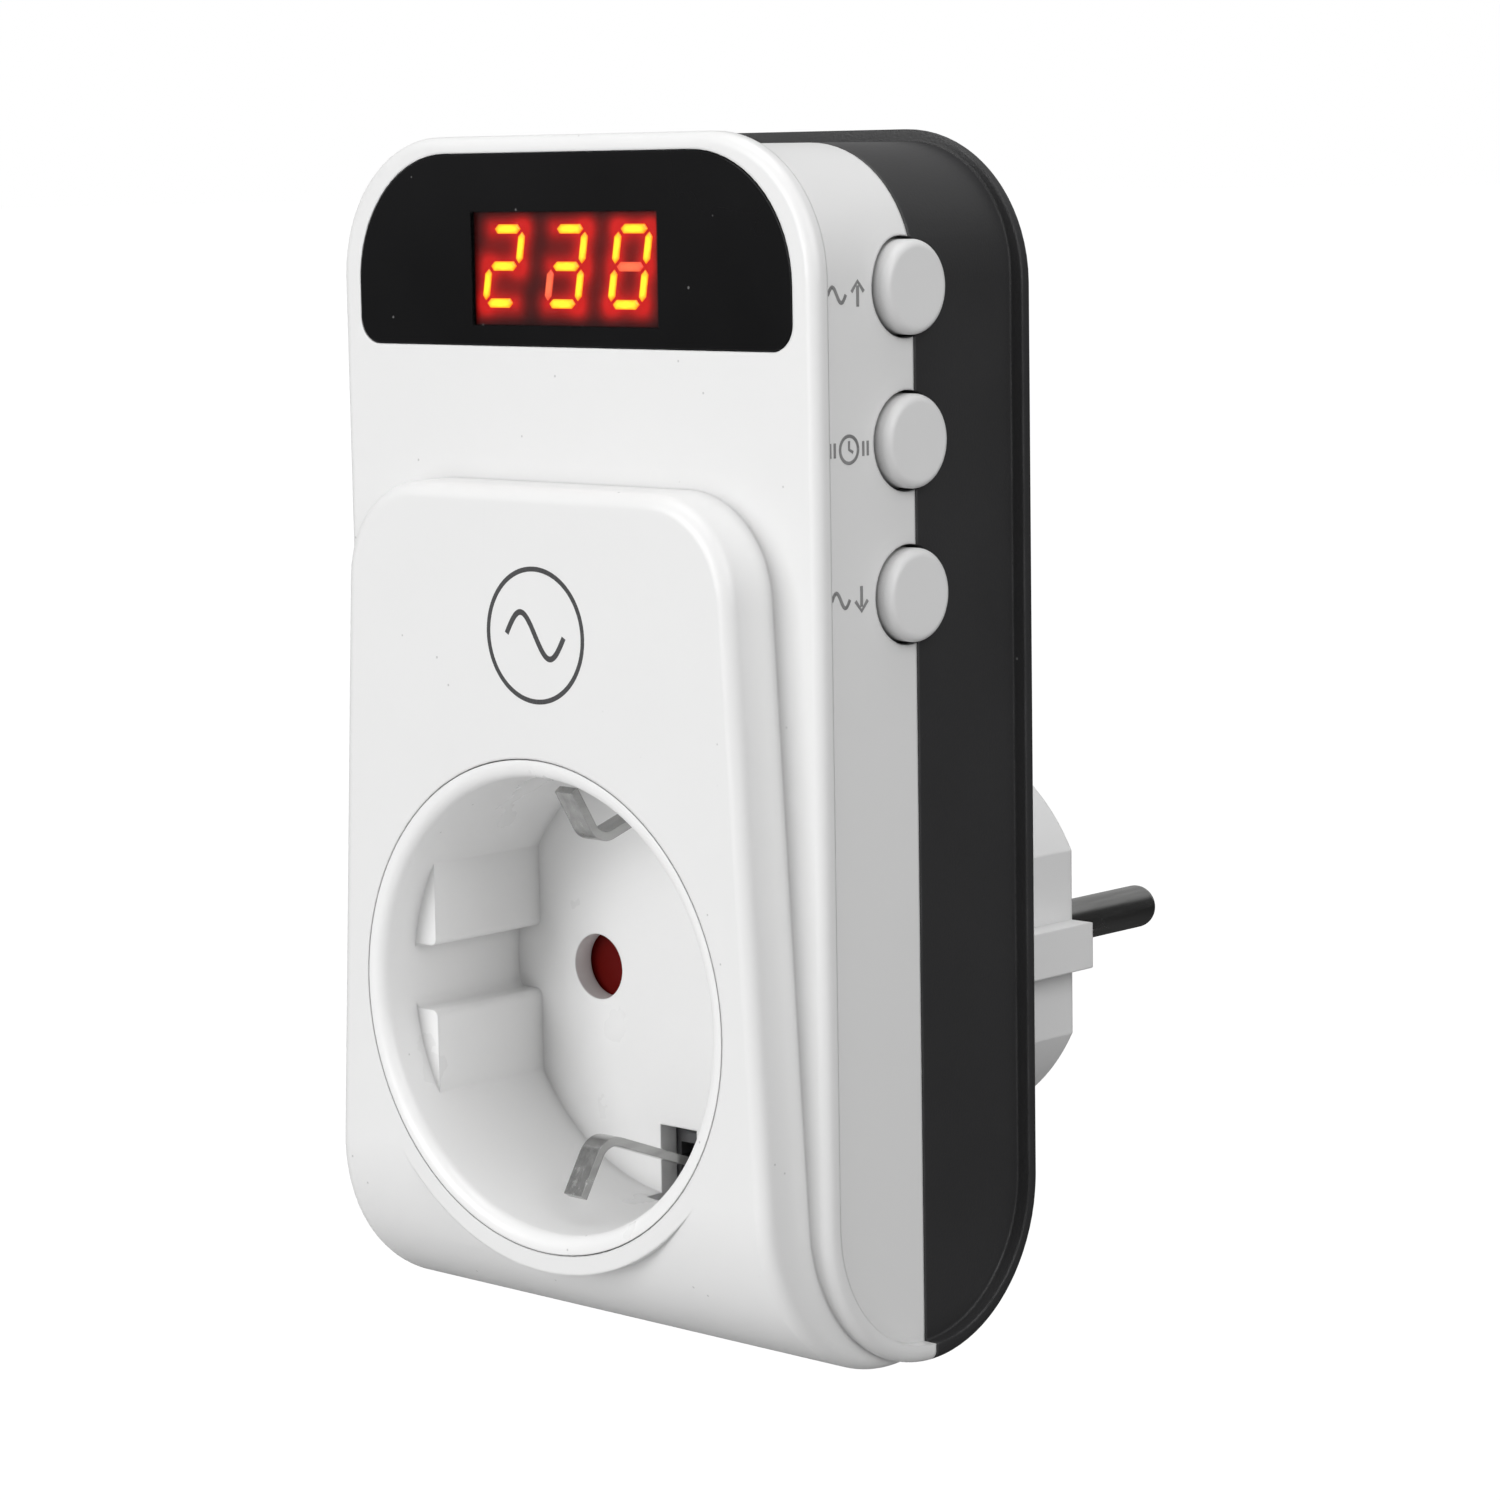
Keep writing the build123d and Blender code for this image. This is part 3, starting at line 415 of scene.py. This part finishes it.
def bar_rings(start, end):
    """The nested outlines of a bar: (points, height share, glows) from its foot to its crown."""
    first, last = Vector(start), Vector(end)
    along = (last - first).normalized()
    across = Vector((-along.y, along.x))
    half = SEGMENT_STROKE / 2
    length = (last - first).length - 2 * SEGMENT_GAP
    centre = (first + last) / 2
    rings = []
    for inset, lift, glow in BAR_RINGS:
        reach = length / 2 - inset * 1.8
        wide = half - inset
        shoulder = reach - wide
        ring = [
            (-reach, 0), (-shoulder, wide), (0, wide), (shoulder, wide),
            (reach, 0), (shoulder, -wide), (0, -wide), (-shoulder, -wide),
        ]
        points = [centre + along * u + across * v for u, v in ring]
        ends = [abs(u) / (length / 2) for u, v in ring]
        rings.append((points, lift, [glow * (1 - 0.7 * end ** 2) for end in ends]))
    return rings


digits_low, digits_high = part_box("led_segments_lit")
digits_middle = (
    (display_low[0] + display_high[0]) / 2 / MM, (digits_low[2] + digits_high[2]) / 2 / MM
)
digits_height = (digits_high[2] - digits_low[2]) / MM


def digit_bars(name, letters_by_digit, node, material):
    """Domed bars for the named segments of the three digits, in place of a CAD node."""
    back, front = digits_high[1] / MM, digits_low[1] / MM
    middle_x, middle_z = digits_middle
    top_ring = (len(BAR_RINGS) - 1) * RING_CORNERS
    vertices, faces, glows = [], [], []
    for digit, letters in enumerate(letters_by_digit):
        for letter in letters:
            first = len(vertices)
            for points, lift, ring_glows in bar_rings(*segment_ends(letter, digits_height)):
                for point, glow in zip(points, ring_glows):
                    x = middle_x + (digit - 1) * DIGIT_PITCH + point.x + math.tan(DIGIT_SLANT) * point.y
                    depth = back + (front - back) * lift
                    vertices.append((x * MM, depth * MM, (middle_z + point.y) * MM))
                    glows.append(glow)
            for ring in range(len(BAR_RINGS) - 1):
                for corner in range(RING_CORNERS):
                    a = first + ring * RING_CORNERS + corner
                    b = first + ring * RING_CORNERS + (corner + 1) % RING_CORNERS
                    faces.append((a, b, b + RING_CORNERS, a + RING_CORNERS))
            faces.append(tuple(first + top_ring + corner for corner in range(RING_CORNERS)))
            faces.append(tuple(first + corner for corner in reversed(range(RING_CORNERS))))
    piece = new_piece(name, vertices, faces, material)
    turn_faces_outward(piece.data)
    set_glow(piece.data, glows)
    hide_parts(node)


digit_bars("lit_segments", LIT_SEGMENTS, "led_segments_lit", materials["led_lit"].material)
digit_bars("faint_segments", FAINT_SEGMENTS, "led_segments_faint", materials["led_faint"].material)


def lit_lines(letters_by_digit):
    """The middle lines of the lit bars, in millimetres on the display's face."""
    lines = []
    for digit, letters in enumerate(letters_by_digit):
        for letter in letters:
            ends = []
            for x, z in segment_ends(letter, digits_height):
                slanted = x + math.tan(DIGIT_SLANT) * z
                ends.append(Vector((
                    digits_middle[0] + (digit - 1) * DIGIT_PITCH + slanted, digits_middle[1] + z
                )))
            lines.append(ends)
    return lines


def distance_to_line(point, start, end):
    run = end - start
    share = max(0.0, min(1.0, (point - start).dot(run) / run.length_squared))
    return (point - start - run * share).length


# The red filter, in millimetres: its gap to the display's edges, how far it runs on at the left,
# its two faces in front of the display, the reach of a bar's glow and the width of its dim border.
FILTER_MARGIN = 0.02
FILTER_RUN_ON = 0.27
FILTER_FRONT = 0.05
FILTER_BACK = 0.01
GLOW_REACH = 0.95
GLOW_PEAK = 0.95
BORDER_WIDTH = 0.9
BORDER_GLOW = 0.25


def glow_sheet(name, columns, rows):
    """A thin red filter on the display's face. Its corners carry the light that the bars spill."""
    lines = lit_lines(LIT_SEGMENTS)
    x_low, x_high = display_low[0] / MM - FILTER_RUN_ON, display_high[0] / MM - FILTER_MARGIN
    z_low, z_high = display_low[2] / MM + FILTER_MARGIN, display_high[2] / MM - FILTER_MARGIN
    front_y, back_y = display_low[1] / MM - FILTER_FRONT, display_low[1] / MM - FILTER_BACK
    vertices, glows, faces = [], [], []
    for y in (front_y, back_y):
        for row in range(rows + 1):
            for column in range(columns + 1):
                x = x_low + (x_high - x_low) * column / columns
                z = z_low + (z_high - z_low) * row / rows
                shares = [distance_to_line(Vector((x, z)), *line) / GLOW_REACH for line in lines]
                spill = sum(math.exp(-(share ** 1.5)) for share in shares)
                border = min(x - x_low, x_high - x, z - z_low, z_high - z)
                inward = max(0.0, min(1.0, border / BORDER_WIDTH))
                level = min(1.0, GLOW_PEAK * spill)
                glows.append(level * (BORDER_GLOW + (1 - BORDER_GLOW) * inward))
                vertices.append((x * MM, y * MM, z * MM))
    width = columns + 1
    sheet = width * (rows + 1)
    for row in range(rows):
        for column in range(columns):
            a = row * width + column
            faces.append((a, a + 1, a + width + 1, a + width))
            faces.append((sheet + a, sheet + a + width, sheet + a + width + 1, sheet + a + 1))
    rim = list(range(columns))
    rim += [columns + row * width for row in range(rows)]
    rim += [rows * width + column for column in range(columns, 0, -1)]
    rim += [row * width for row in range(rows, 0, -1)]
    for a, b in zip(rim, rim[1:] + rim[:1]):
        faces.append((b, a, sheet + a, sheet + b))
    piece = new_piece(name, vertices, faces, materials["led_face"].material)
    set_glow(piece.data, glows)


glow_sheet("display_filter", 110, 48)


def ribbon(points, width, closed=False):
    """A flat band of even width along 2D points, as quads of 2D corners."""
    count = len(points)
    sides = []
    for index, point in enumerate(points):
        before = points[(index - 1) % count] if closed or index else point
        after = points[(index + 1) % count] if closed or index < count - 1 else point
        along = (Vector(after) - Vector(before)).normalized()
        across = Vector((-along.y, along.x)) * width / 2
        sides.append((Vector(point) + across, Vector(point) - across))
    last = count if closed else count - 1
    return [
        (sides[i][0], sides[(i + 1) % count][0], sides[(i + 1) % count][1], sides[i][1])
        for i in range(last)
    ]


INK_ROOT = 0.01
WELD = 0.0001 * MM


def print_mark(name, bands, to_space, ink, thickness=0.03):
    """Pad printed ink: every band is a thin film that stands on the surface."""
    vertices, faces = [], []
    for band in bands:
        for quad in band:
            first = len(vertices)
            vertices += [to_space(corner, -INK_ROOT) for corner in quad]
            vertices += [to_space(corner, thickness) for corner in quad]
            faces.append((first + 4, first + 5, first + 6, first + 7))
            faces.append((first + 3, first + 2, first + 1, first))
            for i in range(4):
                j = (i + 1) % 4
                faces.append((first + i, first + j, first + 4 + j, first + 4 + i))
    piece = new_piece(name, vertices, faces, materials[ink].material)
    turn_faces_outward(piece.data, WELD)


def circle(radius, count):
    turns = [2 * math.pi * step / count for step in range(count)]
    return [(radius * math.cos(turn), radius * math.sin(turn)) for turn in turns]


def sine_wave(half_length, height, count):
    """One period of a sine wave, centred on zero."""
    steps = [2 * step / count for step in range(count + 1)]
    return [(half_length * (step - 1), height * math.sin(math.pi * step)) for step in steps]


# The front mark sits on the platform above the recess, the side marks beside the buttons.
PLATFORM_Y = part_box("front_cover")[0][1] / MM
FRONT_MARK_X, FRONT_MARK_Z = 0.65, 31.9
SIDE_X = 26.7
SIDE_MARK_Y = -41.95
SIDE_MARK_HEIGHTS = {"upper": 60.2, "middle": 47.7, "lower": 35.5}


def on_platform(corner, lift):
    return ((FRONT_MARK_X + corner.x) * MM, (PLATFORM_Y - lift) * MM, (FRONT_MARK_Z + corner.y) * MM)


def on_side(height):
    def place(corner, lift):
        return ((SIDE_X + lift) * MM, (SIDE_MARK_Y + corner.x) * MM, (height + corner.y) * MM)

    return place


def moved(band, x, flip=1):
    return [tuple(Vector((point.x + x, point.y * flip)) for point in quad) for quad in band]


# A ring around one period of a sine wave: the usual sign for alternating voltage.
print_mark(
    "front_mark",
    [ribbon(circle(5.6, 96), 0.42, closed=True), ribbon(sine_wave(3.4, 1.9, 40), 0.5)],
    on_platform, "print_black", 0.008,
)

# Beside the buttons: a wave that goes up, a clock between ticks and a wave that goes down.
ripple = moved(ribbon(sine_wave(1.1, 0.65, 24), 0.3), -1.25)
arrow = [ribbon([(0, -1.0), (0, 0.7)], 0.32), ribbon([(-0.75, 0.2), (0, 1.05), (0.75, 0.2)], 0.3)]
dial = ribbon(circle(1.1, 40), 0.27, closed=True)
hands = ribbon([(0, 0.7), (0, 0), (0.5, -0.25)], 0.24)
ticks = [ribbon([(x, -0.6), (x, 0.6)], 0.26) for x in (-2.3, -1.75, 1.75, 2.3)]
side_marks = {
    "upper": [ripple] + [moved(band, 1.3) for band in arrow],
    "middle": [dial, hands] + ticks,
    "lower": [ripple] + [moved(band, 1.3, -1) for band in arrow],
}
for button, bands in side_marks.items():
    print_mark(f"side_mark_{button}", bands, on_side(SIDE_MARK_HEIGHTS[button]), "print_grey")


# ---------------------------------------------------------------- camera, lights and floor
scene = bpy.context.scene
scene.view_settings.view_transform = "Standard"

# The photo's view: radians about the upright, sideways and viewing axes, then metres.
YAW, PITCH, ROLL = 0.74644, 0.13597, -0.016835
CAMERA_PLACE = (0.25601, -0.30227, 0.07073)
FOCAL_LENGTH = 102.7

forward = Vector((-math.sin(YAW) * math.cos(PITCH), math.cos(YAW) * math.cos(PITCH), -math.sin(PITCH)))
level = Vector((math.cos(YAW), math.sin(YAW), 0.0))
upright = level.cross(forward)
right = math.cos(ROLL) * level + math.sin(ROLL) * upright
up = -math.sin(ROLL) * level + math.cos(ROLL) * upright
camera_data = bpy.data.cameras.new("camera")
camera_data.lens = FOCAL_LENGTH
camera_data.sensor_width = 36.0
camera_data.clip_start = 0.01
camera = bpy.data.objects.new("camera", camera_data)
scene.collection.objects.link(camera)
camera.matrix_world = Matrix.Translation(CAMERA_PLACE) @ Matrix(
    (right, up, -forward)
).transposed().to_4x4()
scene.camera = camera

# The room is darker behind the object on its right, which is what its metal pins reflect.
DARK_SIDE = (0.59, 0.76, -0.27)
ROOM_LIGHT = 0.39
ROOM_SHADE = 0.05
world = bpy.data.worlds.new("studio")
scene.world = world
world.use_nodes = True
backdrop = world.node_tree.nodes["Background"]
seen = world.node_tree.nodes.new("ShaderNodeLightPath")
heading = world.node_tree.nodes.new("ShaderNodeTexCoord")
toward_dark = world.node_tree.nodes.new("ShaderNodeVectorMath")
toward_dark.operation = "DOT_PRODUCT"
toward_dark.inputs[1].default_value = DARK_SIDE
world.node_tree.links.new(heading.outputs["Generated"], toward_dark.inputs[0])
room = world.node_tree.nodes.new("ShaderNodeMapRange")
room.interpolation_type = "SMOOTHSTEP"
for name, number in (
    ("From Min", 0.60), ("From Max", 0.80), ("To Min", ROOM_LIGHT), ("To Max", ROOM_SHADE)
):
    room.inputs[name].default_value = number
world.node_tree.links.new(toward_dark.outputs["Value"], room.inputs["Value"])
level_mix = world.node_tree.nodes.new("ShaderNodeMapRange")
level_mix.inputs["To Max"].default_value = 1.0
world.node_tree.links.new(seen.outputs["Is Camera Ray"], level_mix.inputs["Value"])
world.node_tree.links.new(room.outputs["Result"], level_mix.inputs["To Min"])
world.node_tree.links.new(level_mix.outputs["Result"], backdrop.inputs["Strength"])
backdrop.inputs["Color"].default_value = (1.0, 1.0, 1.0, 1.0)


def softbox(name, place, aim, size, power):
    data = bpy.data.lights.new(name, "AREA")
    data.shape = "RECTANGLE"
    data.size, data.size_y = size
    data.energy = power
    light = bpy.data.objects.new(name, data)
    light.location = place
    direction = Vector(aim) - Vector(place)
    light.rotation_euler = direction.to_track_quat("-Z", "Y").to_euler()
    scene.collection.objects.link(light)


middle = (0.0, -0.035, 0.02)
softbox("key", (-0.38, -1.1, 0.30), middle, (0.6, 0.6), 7.5)
softbox("side", (0.52, -0.13, 0.30), middle, (0.4, 0.4), 1.62)
softbox("top", (0.0, -0.1, 1.0), middle, (0.7, 0.7), 3.7)

# The floor reads as white paper to the camera. It is pale in front of the object and dark behind.
FLOOR_Z = -0.30
FLOOR_REACH = 40.0
corners = ((-1, -1), (1, -1), (1, 1), (-1, 1))
floor_mesh = bpy.data.meshes.new("floor")
floor_mesh.from_pydata(
    [(x * FLOOR_REACH, y * FLOOR_REACH, FLOOR_Z) for x, y in corners], [], [(0, 1, 2, 3)]
)
floor = bpy.data.objects.new("floor", floor_mesh)
scene.collection.objects.link(floor)
floor_paint = Graph("floor_paint")
paper = floor_paint.noise(3.0, 3.0)
floor_y = floor_paint.add("ShaderNodeSeparateXYZ", {"Vector": floor_paint.place}).outputs["Y"]
behind = floor_paint.spread(floor_y, -0.12, 0.05, smooth=True)
near_paper = floor_paint.mix(paper, (0.68, 0.68, 0.68), (0.72, 0.72, 0.72))
floor_paint.link(floor_paint.mix(behind, near_paper, (0.07, 0.07, 0.07)), "Base Color")
floor_paint.shader.inputs["Emission Color"].default_value = (1.0, 1.0, 1.0, 1.0)
floor_seen = floor_paint.add("ShaderNodeLightPath").outputs["Is Camera Ray"]
floor_paint.link(floor_seen, "Emission Strength")
floor_paint.shader.inputs["Roughness"].default_value = 0.9
floor_paint.shader.inputs["Specular IOR Level"].default_value = 0.1
floor_mesh.materials.append(floor_paint.material)
